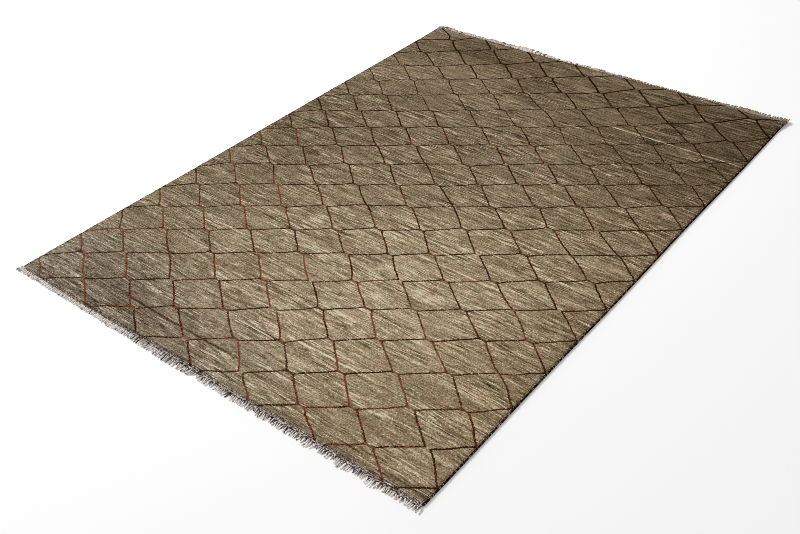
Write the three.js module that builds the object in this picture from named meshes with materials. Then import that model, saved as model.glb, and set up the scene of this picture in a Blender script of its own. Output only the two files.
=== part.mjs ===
// Gabbeh rug: a hand-knotted wool rug that lies flat, with overcast long sides and a short fringe
// at both short ends. Millimetres, +Z up. The origin is on the floor under the middle of the rug,
// X runs across it, along the wefts, and Y runs along it, from the near fringe to the far one.

import * as THREE from 'three';

// Overall size
const RUG_LENGTH = 2400; // between the tips of the two fringes
const RUG_WIDTH = 1715; // over both selvedges
const SEAT_GAP = 0.3; // between pieces that touch on the real rug

// Knotted field
const NEAR_FRINGE_LENGTH = 24; // longest warp ends past the near end of the pile
const FAR_FRINGE_LENGTH = 26; // longest warp ends past the far end of the pile
const PILE_HEIGHT = 12; // floor to pile tips
const CORNER_RADIUS = 15; // the corners of the pile are worn round
const CORNER_STEPS = 5;
const STATION_SPACING = 32; // between the points of the outline

// Selvedges
const SELVEDGE_WIDTH = 6.6;
const SELVEDGE_HEIGHT = 6;
const SOLE_INSET = 0.9; // from the sides of a selvedge to the strip that it rests on
const SELVEDGE_TOP_STEPS = 6;
const SELVEDGE_CORNER_STEPS = 2; // steps of the corner that it follows before it ends

// Fringes
const TOOTH_PITCH = 22; // each tooth stands for a few bunches of warp ends
const TOOTH_ROOT_WIDTH = 16;
const TOOTH_TIP_WIDTH = 11;
const SPINE_DEPTH = 9; // where the warp ends still lie closed side by side
const FRINGE_INSET = 1; // from the outside of a selvedge to the outermost warp end
const NEAR_FRINGE_THICKNESS = 4.2;
const FAR_FRINGE_THICKNESS = 5.6; // these warp ends lie looser

// The edge of the field in section, from the floor up to the top of the pile. The pile leans out over
// the selvedge and the fringe. Columns: out, past the outline of the foundation, and up, off the floor.
const EDGE_PROFILE = [
  { out: 0, up: 0 },
  { out: 0, up: 6.6 },
  { out: 2.8, up: 8 },
  { out: 2.2, up: 10.2 },
  { out: -2.5, up: 11.4 },
  { out: -10, up: PILE_HEIGHT },
];

// Slow waves that keep the edges from being ruler-straight. Columns: reach, the most that the edge
// draws in, wave, the length of one wave, and start, where the wave starts.
const SIDE_WAVES = {
  left: { reach: 2.4, wave: 1300, start: 240 },
  right: { reach: 2.2, wave: 900, start: -150 },
};
const END_WAVES = {
  near: { reach: 2.6, wave: 620, start: 90 },
  far: { reach: 3.2, wave: 540, start: -60 },
};

// How far the teeth of a fringe stop short of the longest one, and how far their tips lean sideways.
// The rows repeat along the fringe. Columns: short, and lean, towards +X.
const TOOTH_RHYTHM = [
  { short: 1.5, lean: 2 },
  { short: 4, lean: -3 },
  { short: 0, lean: 1 },
  { short: 6.5, lean: 3 },
  { short: 2.5, lean: -1 },
  { short: 5, lean: -4 },
  { short: 1, lean: 2 },
  { short: 3.5, lean: 4 },
  { short: 7.5, lean: -2 },
  { short: 2, lean: 0 },
  { short: 4.5, lean: 3 },
];

const wool = {
  field: new THREE.MeshStandardMaterial({ color: 0x85755c, roughness: 0.95, metalness: 0 }),
  selvedge: new THREE.MeshStandardMaterial({ color: 0x2e251b, roughness: 0.92, metalness: 0 }),
  fringe: new THREE.MeshStandardMaterial({ color: 0xb9b0a6, roughness: 0.95, metalness: 0 }),
};

const nearEnd = -RUG_LENGTH / 2 + NEAR_FRINGE_LENGTH;
const farEnd = RUG_LENGTH / 2 - FAR_FRINGE_LENGTH;
const fieldHalfWidth = RUG_WIDTH / 2 - SELVEDGE_WIDTH - SEAT_GAP;

// How far an edge draws in at a place along it, from nothing to the wave's reach.
function drawIn({ reach, wave, start }, along) {
  return reach * (1 - Math.cos((2 * Math.PI * (along - start)) / wave)) / 2;
}

function leftSide(y) {
  return -fieldHalfWidth + drawIn(SIDE_WAVES.left, y);
}

function rightSide(y) {
  return fieldHalfWidth - drawIn(SIDE_WAVES.right, y);
}

function nearSide(x) {
  return nearEnd + drawIn(END_WAVES.near, x);
}

function farSide(x) {
  return farEnd - drawIn(END_WAVES.far, x);
}

// Evenly spaced places from one value to another, both ends included.
function stations(from, to) {
  const count = Math.round(Math.abs(to - from) / STATION_SPACING);
  return Array.from({ length: count + 1 }, (_, i) => from + ((to - from) * i) / count);
}

// A quarter circle round a corner's centre, its two ends left out because the straight runs hold them.
function cornerArc(centre, fromAngle) {
  return Array.from({ length: CORNER_STEPS - 1 }, (_, i) => {
    const angle = fromAngle + ((i + 1) / CORNER_STEPS) * (Math.PI / 2);
    return new THREE.Vector2(Math.cos(angle), Math.sin(angle)).multiplyScalar(CORNER_RADIUS).add(centre);
  });
}

// The centre of a corner's arc, a radius inside the end and the side that meet there.
function cornerCentre(side, end, endOfPile) {
  const inward = -Math.sign(endOfPile);
  const sideX = side(endOfPile);
  const x = sideX - Math.sign(sideX) * CORNER_RADIUS;
  return new THREE.Vector2(x, end(x) + inward * CORNER_RADIUS);
}

// The outline of the foundation, counterclockwise seen from above, from the near left corner.
function fieldOutline() {
  const nearLeft = cornerCentre(leftSide, nearSide, nearEnd);
  const nearRight = cornerCentre(rightSide, nearSide, nearEnd);
  const farRight = cornerCentre(rightSide, farSide, farEnd);
  const farLeft = cornerCentre(leftSide, farSide, farEnd);
  return [
    ...stations(nearLeft.x, nearRight.x).map((x) => new THREE.Vector2(x, nearSide(x))),
    ...cornerArc(nearRight, -Math.PI / 2),
    ...stations(nearRight.y, farRight.y).map((y) => new THREE.Vector2(rightSide(y), y)),
    ...cornerArc(farRight, 0),
    ...stations(farRight.x, farLeft.x).map((x) => new THREE.Vector2(x, farSide(x))),
    ...cornerArc(farLeft, Math.PI / 2),
    ...stations(farLeft.y, nearLeft.y).map((y) => new THREE.Vector2(leftSide(y), y)),
    ...cornerArc(nearLeft, Math.PI),
  ];
}

// The outline moved outwards by a distance, each point along the mean of its two edges' normals.
function offsetOutline(outline, distance) {
  return outline.map((point, i) => {
    const before = outline[(i + outline.length - 1) % outline.length];
    const after = outline[(i + 1) % outline.length];
    const direction = after.clone().sub(before).normalize();
    return new THREE.Vector2(point.x + distance * direction.y, point.y - distance * direction.x);
  });
}

// A closed skin through a stack of loops that have the same number of points, each counterclockwise
// seen from the last loop's side. Flatten gives a point's place in that view, to fill the two ends.
function skin(loops, flatten) {
  const count = loops[0].length;
  const positions = loops.flat().flatMap((point) => point.toArray());
  const indices = [];
  for (let level = 0; level < loops.length - 1; level += 1) {
    for (let i = 0; i < count; i += 1) {
      const here = level * count + i;
      const next = level * count + ((i + 1) % count);
      indices.push(here, next, next + count);
      indices.push(here, next + count, here + count);
    }
  }
  const lastStart = (loops.length - 1) * count;
  for (const [a, b, c] of THREE.ShapeUtils.triangulateShape(loops[0].map(flatten), [])) {
    indices.push(c, b, a);
  }
  for (const [a, b, c] of THREE.ShapeUtils.triangulateShape(loops.at(-1).map(flatten), [])) {
    indices.push(lastStart + a, lastStart + b, lastStart + c);
  }
  const geometry = new THREE.BufferGeometry();
  geometry.setAttribute('position', new THREE.Float32BufferAttribute(positions, 3));
  geometry.setIndex(indices);
  geometry.computeVertexNormals();
  return geometry;
}

// Foundation and pile: flat on the floor, with its edge rising in the profile above.
function knottedField() {
  const outline = fieldOutline();
  const loops = EDGE_PROFILE.map(({ out, up }) =>
    offsetOutline(outline, out).map((point) => new THREE.Vector3(point.x, point.y, up)),
  );
  return skin(loops, (point) => new THREE.Vector2(point.x, point.y));
}

// The section of a selvedge: flat on the floor and against the field, round on top. Its points run
// counterclockwise seen from the near end, with out pointing away from the field.
function selvedgeSection() {
  const middle = SELVEDGE_WIDTH / 2;
  const rise = SELVEDGE_HEIGHT / 2;
  const arc = Array.from({ length: SELVEDGE_TOP_STEPS + 1 }, (_, i) => {
    const angle = (Math.PI * i) / SELVEDGE_TOP_STEPS;
    return { out: middle + middle * Math.cos(angle), up: rise + rise * Math.sin(angle) };
  });
  return [{ out: SOLE_INSET, up: 0 }, { out: SELVEDGE_WIDTH - SOLE_INSET, up: 0 }, ...arc];
}

// The way of a selvedge along the outline, from round the near corner to round the far one. Each stop
// has at, its place on the outline, and away, the direction out of the field there.
function selvedgeRun(side) {
  const edge = side > 0 ? rightSide : leftSide;
  const nearCentre = cornerCentre(edge, nearSide, nearEnd);
  const farCentre = cornerCentre(edge, farSide, farEnd);
  const turn = (centre, angle) => {
    const away = new THREE.Vector2(side * Math.cos(angle), Math.sin(angle));
    return { at: away.clone().multiplyScalar(CORNER_RADIUS).add(centre), away };
  };
  const step = Math.PI / 2 / CORNER_STEPS;
  const turns = Array.from({ length: SELVEDGE_CORNER_STEPS }, (_, i) => (i + 1) * step);
  return [
    ...turns.toReversed().map((angle) => turn(nearCentre, -angle)),
    ...stations(nearCentre.y, farCentre.y).map((y) => ({
      at: new THREE.Vector2(edge(y), y),
      away: new THREE.Vector2(side, 0),
    })),
    ...turns.map((angle) => turn(farCentre, angle)),
  ];
}

// One wrapped side cord. Side is 1 for the right selvedge and -1 for the left one.
function selvedge(side) {
  const section = selvedgeSection();
  const loops = selvedgeRun(side).map(({ at, away }) =>
    section.map(({ out, up }) => {
      const place = at.clone().addScaledVector(away, SEAT_GAP + out);
      return new THREE.Vector3(place.x, place.y, up);
    }),
  );
  if (side > 0) {
    loops.forEach((loop) => loop.reverse());
  }
  return skin(loops, (point) => new THREE.Vector2(-point.x, point.z));
}

// The warp ends of one short end as a flat comb: a closed spine along the pile and uneven teeth.
// Towards is -1 for the near fringe and 1 for the far one.
function fringe(towards, endOfPile, longest, thickness) {
  const span = RUG_WIDTH - 2 * FRINGE_INSET;
  const count = Math.floor(span / TOOTH_PITCH);
  const pitch = span / count;
  const places = Array.from({ length: count + 1 }, (_, i) => -span / 2 + i * pitch);
  const back = places.map((x) => new THREE.Vector2(x, endOfPile(x) + towards * SEAT_GAP));
  const tip = towards * (RUG_LENGTH / 2);
  const front = [];
  for (let i = 0; i < count; i += 1) {
    const { short, lean } = TOOTH_RHYTHM[i % TOOTH_RHYTHM.length];
    const middle = (places[i] + places[i + 1]) / 2;
    const root = endOfPile(middle) + towards * SPINE_DEPTH;
    const end = tip - towards * short;
    const sway = lean * ((longest - short) / longest);
    front.push(new THREE.Vector2(middle - TOOTH_ROOT_WIDTH / 2, root));
    front.push(new THREE.Vector2(middle - TOOTH_TIP_WIDTH / 2 + sway, end));
    front.push(new THREE.Vector2(middle + TOOTH_TIP_WIDTH / 2 + sway, end));
    front.push(new THREE.Vector2(middle + TOOTH_ROOT_WIDTH / 2, root));
  }
  const shape = new THREE.Shape([...back, ...front.toReversed()]);
  return new THREE.ExtrudeGeometry(shape, { depth: thickness, bevelEnabled: false });
}

function piece(name, geometry, material) {
  const mesh = new THREE.Mesh(geometry, material);
  mesh.name = name;
  return mesh;
}

const rug = new THREE.Group();
rug.name = 'gabbeh_rug';
rug.add(
  piece('knotted_field', knottedField(), wool.field),
  piece('selvedge_left', selvedge(-1), wool.selvedge),
  piece('selvedge_right', selvedge(1), wool.selvedge),
  piece('fringe_near', fringe(-1, nearSide, NEAR_FRINGE_LENGTH, NEAR_FRINGE_THICKNESS), wool.fringe),
  piece('fringe_far', fringe(1, farSide, FAR_FRINGE_LENGTH, FAR_FRINGE_THICKNESS), wool.fringe),
);

export default rug;
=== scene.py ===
import math

import bpy
import numpy as np
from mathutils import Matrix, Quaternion, Vector, kdtree
from mathutils.geometry import delaunay_2d_cdt


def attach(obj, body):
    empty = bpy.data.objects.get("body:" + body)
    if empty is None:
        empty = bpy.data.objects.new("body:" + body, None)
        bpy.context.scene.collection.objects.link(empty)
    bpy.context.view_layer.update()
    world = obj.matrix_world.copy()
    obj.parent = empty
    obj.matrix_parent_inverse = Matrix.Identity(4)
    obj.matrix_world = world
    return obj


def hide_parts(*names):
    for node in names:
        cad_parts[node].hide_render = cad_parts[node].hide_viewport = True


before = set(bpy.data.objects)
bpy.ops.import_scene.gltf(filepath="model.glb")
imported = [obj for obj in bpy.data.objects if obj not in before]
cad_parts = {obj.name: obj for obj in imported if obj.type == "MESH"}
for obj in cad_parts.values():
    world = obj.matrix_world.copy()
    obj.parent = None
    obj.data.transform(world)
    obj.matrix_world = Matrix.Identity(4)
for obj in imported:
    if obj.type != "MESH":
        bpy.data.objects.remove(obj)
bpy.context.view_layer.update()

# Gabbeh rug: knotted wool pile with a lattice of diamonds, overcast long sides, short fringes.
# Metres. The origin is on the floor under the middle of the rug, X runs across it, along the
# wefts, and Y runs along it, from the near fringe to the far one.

MM = 0.001

# The rug's sizes, as in the CAD source
RUG_LENGTH = 2400 * MM
RUG_WIDTH = 1715 * MM
SEAT_GAP = 0.3 * MM
NEAR_FRINGE_LENGTH = 24 * MM
FAR_FRINGE_LENGTH = 26 * MM
SELVEDGE_WIDTH = 6.6 * MM
NEAR_END = -RUG_LENGTH / 2 + NEAR_FRINGE_LENGTH
FAR_END = RUG_LENGTH / 2 - FAR_FRINGE_LENGTH
FIELD_HALF_WIDTH = RUG_WIDTH / 2 - SELVEDGE_WIDTH - SEAT_GAP
FRINGE_HALF_WIDTH = 857 * MM
CORD_HALF_LENGTH = 853 * MM
PILE_CORNER = 5 * MM  # radius, tighter than the foundation's, as the pile fills its corners

# The slow waves of the edges. Columns: reach, wave, start.
SIDE_WAVES = {-1: (2.4 * MM, 1300 * MM, 240 * MM), 1: (2.2 * MM, 900 * MM, -150 * MM)}
END_WAVES = {-1: (2.6 * MM, 620 * MM, 90 * MM), 1: (3.2 * MM, 540 * MM, -60 * MM)}

# The edge of the pile in section, from the top down. Columns: out, past the foundation's outline,
# up, off the floor, and rough, how far the pile tips there stray in and out.
PILE_EDGE = [
    (-4 * MM, 11.4 * MM, 0.0),
    (-1.0 * MM, 11.2 * MM, 0.5 * MM),
    (2.0 * MM, 9.9 * MM, 0.8 * MM),
    (2.6 * MM, 8.0 * MM, 0.7 * MM),
    (0.0, 6.6 * MM, 0.0),
    (0.0, 0.0, 0.0),
]
RIM_INSET = -PILE_EDGE[0][0]  # how far the rim of the top's mesh grid lies inside the outline
LOOSE_FROM = 7 * MM  # higher up, the pile strays, leans and is lifted
GROOVE_FOOT = 9 * MM  # the lattice's grooves end here on the edge

# The lattice: lines run between junctions on a staggered grid, half a diamond apart.
COLUMN = 124.3 * MM
COLUMN_START = -2.5 * MM
ROW = 87.3 * MM
ROW_START = -1194.3 * MM
STEPS_ACROSS = 16  # mesh steps over a column; two more than up, for the dash where lines meet
STEPS_UP = 14
STEP = COLUMN / STEPS_ACROSS
LINE_HALF_WIDTH = 3.3 * MM
GROOVE = 2.0 * MM
BEYOND = 3  # mesh steps of lattice kept past the rim, for the lines on the edge of the pile
PILE_TOP = 11.5 * MM
POINTS_A_STEP = 7  # of the lines, over a mesh step
FAR_FROM_LINES = 30 * MM  # distances from a line end here

# How the rows lean across the rug. Columns: place along it, and rise per metre.
ROW_LEAN = [
    (-1.10, 0.000), (-0.65, -0.012), (-0.30, -0.019), (0.00, -0.014), (0.25, -0.023),
    (0.45, -0.020), (0.90, -0.001), (1.10, 0.009),
]

# Where the rows are further apart. Columns: row, and how far it has moved on.
ROW_SPREAD = [
    (0.0, 8 * MM), (1.0, 2 * MM), (2.0, 0.0), (14.0, 0.0), (19.4, 4 * MM), (22.3, 8.5 * MM),
    (25.2, 19 * MM), (28.0, 50 * MM),
]

# Where the columns have drifted across the rug. Columns: middle across and along, spread across
# and along, and how far they have moved.
COLUMN_DRIFT = [
    (-0.60, 0.84, 0.22, 0.22, 13 * MM),
    (-0.86, 1.22, 0.22, 0.16, 57 * MM),
    (-0.70, -0.38, 0.25, 0.25, -7 * MM),
    (0.40, -0.72, 0.14, 0.14, -7 * MM),
    (0.86, 0.99, 0.06, 0.06, 20 * MM),
    (0.62, 1.17, 0.10, 0.05, 16 * MM),
    (0.72, 1.08, 0.10, 0.05, -12 * MM),
    (0.55, 1.04, 0.11, 0.07, -13 * MM),
    (0.70, 0.95, 0.10, 0.07, -12 * MM),
    (-0.55, 0.94, 0.10, 0.07, -14 * MM),
    (-0.53, 1.17, 0.07, 0.05, -10 * MM),
    (-0.80, 0.98, 0.10, 0.07, -18 * MM),
    (-0.40, 0.00, 0.14, 0.14, -6 * MM),
    (0.13, 0.75, 0.14, 0.14, 6 * MM),
]

# Where the rows have drifted along it, with the same columns.
ROW_DRIFT = [
    (0.78, 1.09, 0.30, 0.07, 16 * MM),
    (0.84, 1.13, 0.10, 0.05, 22 * MM),
    (0.86, 1.00, 0.06, 0.05, 14 * MM),
    (-0.55, 1.14, 0.08, 0.05, 14 * MM),
    (-0.75, 1.10, 0.07, 0.04, -8 * MM),
    (0.00, 1.00, 0.26, 0.14, -7 * MM),
    (-0.68, 0.75, 0.14, 0.14, 6 * MM),
    (-0.68, -0.25, 0.14, 0.14, 8 * MM),
    (0.40, -0.50, 0.14, 0.14, -6 * MM),
    (-0.13, -1.00, 0.16, 0.12, -8 * MM),
    (0.40, -1.00, 0.16, 0.12, -8 * MM),
]

# Broad light and dark areas of the ground, partly the wool's own shades and partly painted light
# and shade: lighter at the near end, darker towards the far end and the far right, and darker
# along the pile's near edge. Columns: middle across and along, spread across and along, and how
# much lighter they are.
GROUND_AREAS_AND_PAINTED_LIGHT = [
    (0.30, -0.60, 0.70, 0.55, 0.40),
    (0.80, -0.20, 0.40, 0.60, 0.14),
    (0.95, 0.95, 0.50, 0.60, -0.34),
    (0.00, 0.95, 1.60, 0.70, -0.16),
    (0.00, 1.15, 1.60, 0.30, -0.09),
    (0.85, -0.45, 0.30, 0.60, -0.27),
    (0.00, -1.08, 0.30, 0.20, 0.08),
    (-0.80, 0.00, 0.40, 0.45, -0.18),
    (-0.55, 0.72, 0.50, 0.16, 0.10),
    (0.70, 0.60, 0.22, 0.22, -0.12),
    (-0.58, 1.03, 0.16, 0.09, -0.18),
    (-0.35, 1.05, 0.16, 0.07, -0.08),
    (-0.05, 1.142, 0.35, 0.014, 0.26),
    (-0.30, 1.167, 0.20, 0.012, -0.16),
    (-0.45, -1.12, 0.40, 0.14, -0.20),
    (0.80, -1.06, 0.20, 0.14, 0.13),
    (0.84, -0.95, 0.14, 0.16, 0.12),
    (0.58, -1.163, 0.30, 0.013, -0.30),
    (-0.68, -1.163, 0.24, 0.014, -0.14),
    (-0.82, -1.12, 0.20, 0.10, 0.10),
]


def draw_in(wave, along):
    """How far a slow wave draws an edge in."""
    reach, length, start = wave
    return reach * (1 - np.cos(2 * np.pi * (along - start) / length)) / 2


def side_x(side, y):
    """The foundation's edge on the left, -1, or the right, 1."""
    return side * (FIELD_HALF_WIDTH - draw_in(SIDE_WAVES[side], y))


def end_y(end, x):
    """The foundation's edge at the near end, -1, or the far end, 1."""
    return (NEAR_END if end < 0 else FAR_END) - end * draw_in(END_WAVES[end], x)


def ease(value, low, high):
    """0 below low, 1 above high and smooth between."""
    t = np.clip((value - low) / (high - low), 0, 1)
    return t * t * (3 - 2 * t)


def hills(table, x, y):
    """The sum of the rounded hills that a table names, at each place."""
    total = np.zeros(np.shape(x))
    for middle_x, middle_y, wide, long, height in table:
        total += height * np.exp(-(((x - middle_x) / wide) ** 2) - ((y - middle_y) / long) ** 2)
    return total


def blend(at, i, j, a, b):
    """Between the corners of a grid cell, a of the way across it and b of the way up."""
    low = at(i, j) * (1 - a) + at(i + 1, j) * a
    high = at(i, j + 1) * (1 - a) + at(i + 1, j + 1) * a
    return low * (1 - b) + high * b


class Wander:
    """Smooth seeded noise over the rug, from about -1 to 1, with bumps of the given spacing."""

    REACH = 1.6  # metres that it covers on each side of the middle

    def __init__(self, seed, across, along=None):
        self.spacing = np.array([across, along or across])
        count = np.ceil(2 * self.REACH / self.spacing).astype(int) + 2
        self.values = np.random.default_rng(seed).uniform(-1, 1, count)

    def __call__(self, x, y):
        at = np.stack([(x + self.REACH) / self.spacing[0], (y + self.REACH) / self.spacing[1]])
        cell = np.floor(at).astype(int)
        part = at - cell
        part = part * part * (3 - 2 * part)
        return blend(lambda i, j: self.values[i, j], *cell, *part)


def share_across(x):
    """0 at the left end of a fringe and 1 at its right end."""
    return (x + FRINGE_HALF_WIDTH) / (2 * FRINGE_HALF_WIDTH)


def unit(vectors):
    return vectors / np.linalg.norm(vectors, axis=-1, keepdims=True)


def run_along(path):
    """How far each point is along a path."""
    return np.concatenate([[0], np.cumsum(np.linalg.norm(np.diff(path, axis=0), axis=1))])


def sample(table, run, at):
    """The rows of a table at some distances along its path, worked out between its own rows."""
    return np.stack([np.interp(at, run, column) for column in table.T], 1)


def circle(sides):
    """Points evenly round a circle of radius 1."""
    turn = 2 * np.pi * np.arange(sides) / sides
    return np.stack([np.cos(turn), np.sin(turn)], 1)


def new_piece(name, points, faces, slots=None, uv=None, **attributes):
    """A smooth mesh object. Faces are arrays with one face a row. Slots has a number for each face,
    uv a place on the texture for each corner, and attributes a value for each point."""
    mesh = bpy.data.meshes.new(name)
    mesh.vertices.add(len(points))
    mesh.vertices.foreach_set("co", np.asarray(points, np.float32).ravel())
    sides = np.concatenate([np.full(len(f), f.shape[1]) for f in faces])
    corners = np.concatenate([f.ravel() for f in faces])
    mesh.loops.add(len(corners))
    mesh.loops.foreach_set("vertex_index", corners.astype(np.int32))
    mesh.polygons.add(len(sides))
    mesh.polygons.foreach_set("loop_start", (np.cumsum(sides) - sides).astype(np.int32))
    mesh.update(calc_edges=True)
    mesh.polygons.foreach_set("use_smooth", np.ones(len(sides), bool))
    if slots is not None:
        mesh.polygons.foreach_set("material_index", slots.astype(np.int32))
    if uv is not None:
        mesh.uv_layers.new(name="OFBake").uv.foreach_set("vector", np.asarray(uv, np.float32).ravel())
    for key, values in attributes.items():
        values = np.asarray(values, np.float32)
        kind, field = ("FLOAT", "value") if values.ndim == 1 else ("FLOAT_VECTOR", "vector")
        mesh.attributes.new(key, kind, "POINT").data.foreach_set(field, values.ravel())
    mesh.update()
    if mesh.validate(verbose=False):
        raise RuntimeError(f"{name} has faults")
    made = bpy.data.objects.new(name, mesh)
    bpy.context.scene.collection.objects.link(made)
    return made


def at_junction(across, up):
    """Whether a point of the mesh grid is a junction of the lattice."""
    return (up % STEPS_UP == 0) & (across % STEPS_ACROSS == 0)


class Lattice:
    """Where the lines of the lattice run, and a mesh grid whose diagonals follow them."""

    SHAPE = (18, 32)  # junctions across and up
    OFFSET = (9, 2)  # junctions before number 0

    def __init__(self):
        rng = np.random.default_rng(41)
        self.shift = np.clip(rng.normal(0, 3.6 * MM, (2, *self.SHAPE)), -8 * MM, 8 * MM)
        kind = rng.random(self.SHAPE)
        dash = rng.uniform(10 * MM, 15 * MM, self.SHAPE)
        gap = rng.uniform(7.5 * MM, 10 * MM, self.SHAPE)
        self.open = kind > 0.88  # the two halves of a junction stay apart
        self.half_dash = np.where(self.open, gap, np.where(kind < 0.12, 1.5 * MM, dash))
        i, j = np.indices(self.SHAPE)
        between = (i - self.OFFSET[0] + j - self.OFFSET[1]) % 2 == 1
        sides = sum(np.roll(self.shift, way, axis) for way in (-1, 1) for axis in (1, 2)) / 4
        self.shift = np.where(between, sides, self.shift)
        self.bend = [Wander(seed, 0.034) for seed in (7, 8)]
        self.ragged = [Wander(seed, 0.013) for seed in (9, 10)]

    def at(self, table, i, j):
        i = np.clip(i + self.OFFSET[0], 0, self.SHAPE[0] - 1)
        j = np.clip(j + self.OFFSET[1], 0, self.SHAPE[1] - 1)
        return table[i, j]

    def stray(self, axis, s, t, x, y):
        """How far a place strays from the even lattice, along X, 0, or Y, 1."""
        i, j = np.floor(s).astype(int), np.floor(t).astype(int)
        slow = blend(lambda i, j: self.at(self.shift[axis], i, j), i, j, s - i, t - j)
        return slow + 0.7 * MM * self.bend[axis](x, y) + 0.8 * MM * self.ragged[axis](x, y)

    def plain(self, across, up):
        """The place of a grid point before anything strays."""
        row = up / STEPS_UP
        x = COLUMN_START + COLUMN * across / STEPS_ACROSS
        return x, ROW_START + ROW * row + np.interp(row, *zip(*ROW_SPREAD))

    def place(self, across, up):
        """The place of a grid point on the rug, across and up counted in mesh steps."""
        s, t = across / STEPS_ACROSS, up / STEPS_UP
        x, y = self.plain(across, up)
        lean = x * np.interp(y, *zip(*ROW_LEAN))
        sweep = -2 * MM * ease(x, 0.795, 0.86) - 5 * MM * ease(-x, 0.80, 0.86)
        i, j = np.round(s).astype(int), np.round(t).astype(int)
        k, m = across - STEPS_ACROSS * i, up - STEPS_UP * j
        real = (i + j) % 2 == 0
        near = np.clip(1 - (abs(k) - 1) / 6, 0, 1) * np.clip(1 - abs(m) / 6, 0, 1)
        opening = (self.at(self.half_dash, i, j) - STEP) * np.sign(k) * near * real
        bulge = 11 * MM * np.exp(-(((x - 0.06) / 0.075) ** 2))
        near_right = 8 * MM * ease(-y, 0.5, 0.85) * ease(x, -0.3, -0.1)
        moved = x + bulge + near_right + opening + self.squeeze(across, up) + hills(COLUMN_DRIFT, x, y)
        risen = y + lean + sweep + hills(ROW_DRIFT, x, y)
        return moved + self.stray(0, s, t, x, y), risen + self.stray(1, s, t, x, y)

    def off_line(self, across, up):
        """Steps from the line that crosses the point's cell, positive to the right of it, and
        whether that line rises to the right."""
        i, j = across // STEPS_ACROSS, up // STEPS_UP
        c, r = across - STEPS_ACROSS * i, up - STEPS_UP * j
        rising = (i + j) % 2 == 0
        return np.where(rising, c - 1 - r, c - (STEPS_ACROSS - 1) + r), rising

    def on_line(self, across, up):
        """Whether a grid point lies on a line or on the dash that joins two of them."""
        i, j = np.round(across / STEPS_ACROSS).astype(int), np.round(up / STEPS_UP).astype(int)
        joined = ((i + j) % 2 == 0) & ~self.at(self.open, i, j)
        return np.where(at_junction(across, up), joined, self.off_line(across, up)[0] == 0)

    def squeeze(self, across, up):
        """Draws the points beside a line in towards it, so that its groove is narrow."""
        off, _ = self.off_line(across, up)
        pull = np.interp(abs(off), [0, 1, 2, 3, 4], [0, 0.34, 0.24, 0.12, 0])
        return -np.sign(off) * pull * STEP * ~at_junction(across, up)


def rust_share(x, y, rising):
    """How much of a line is rust red rather than dark brown there, before chance: most at the near
    end, on the lines that fall towards the right."""
    u, v = share_across(x), (y + 1.178) / 2.356
    return 0.28 - 0.62 * v if rising else 0.66 - (0.62 + 0.37 * u) * v


def line_points(lattice, x, y, first_across, first_up):
    """Points a little over a millimetre apart along every line, with their colours. x and y are
    the places of the mesh grid."""
    rng = np.random.default_rng(23)
    steps = np.arange(STEPS_UP + 1)
    places, rust, mark = [], [], []

    def add(across, up, rising, red, strength):
        column, row = across - first_across, up - first_up
        here = (column >= 0) & (column < x.shape[1]) & (row >= 0) & (row < x.shape[0])
        if here.sum() < 2:
            return
        coarse = np.arange(here.sum())
        fine = np.linspace(0, coarse[-1], coarse[-1] * POINTS_A_STEP + 1)
        px, py = (np.interp(fine, coarse, v[row[here], column[here]]) for v in (x, y))
        places.append(np.stack([px, py], 1))
        rust.append(rust_share(px, py, rising) + red)
        mark.append(np.full(len(px), strength))

    for i in range(-8, 8):
        for j in range(-1, 28):
            rising = (i + j) % 2 == 0
            red, strength = rng.normal(0, 0.16), rng.uniform(0.92, 1.0)
            column = steps + 1 if rising else STEPS_ACROSS - 1 - steps
            add(STEPS_ACROSS * i + column, STEPS_UP * j + steps, rising, red, strength)
            if rising and not lattice.at(lattice.open, i, j):
                dash = STEPS_ACROSS * i + np.array([-1, 0, 1])
                add(dash, np.full(3, STEPS_UP * j), False, red, 0.75 * strength)
    places, rust, mark = np.concatenate(places), np.concatenate(rust), np.concatenate(mark)
    return places, rust + 0.30 * Wander(11, 0.055)(*places.T), mark


def line_finder(places, rust, mark):
    """Gives the function that finds the nearest line."""
    tree = kdtree.KDTree(len(places))
    for n, (x, y) in enumerate(places):
        tree.insert((x, y, 0), n)
    tree.balance()

    def lines_at(flat):
        """Each place's distance from the nearest line, and that line's rust and strength."""
        found = [tree.find((x, y, 0)) for x, y in flat]
        nearest = np.array([f[1] for f in found])
        far = np.minimum([f[2] for f in found], FAR_FROM_LINES)
        return np.column_stack([far, rust[nearest], mark[nearest]])

    return lines_at


def far_lean(x):
    """How much further the pile leans out at the far end."""
    steps = 6.0 * ease(x, -0.1, 0.4) + 4.0 * ease(x, 0.55, 0.75) + 4.0 * ease(x, 0.78, 0.84)
    return (1.0 + steps) * MM


def flop(places, out):
    """How much further the pile leans out over the left side, the near fringe's left half and the
    far fringe, the most on its right half."""
    near = ease(-out[:, 1], 0.3, 0.9) * ease(-places[:, 0], 0.05, 0.55)
    left = ease(-out[:, 0], 0.3, 0.9)
    right = ease(out[:, 0], 0.3, 0.9) * ease(places[:, 1], 1.10, 1.165)
    far = ease(out[:, 1], 0.3, 0.9) * far_lean(places[:, 0])
    return 5.0 * MM * near + 2.0 * MM * left + 7.0 * MM * right + far


def corner_lift(x, y):
    """How much higher the pile stands in the far corners."""
    along = ease(y, 1.10, 1.17)
    return (3.5 * ease(x, 0.77, 0.845) + 2.5 * ease(-x, 0.74, 0.83)) * along * MM


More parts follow.
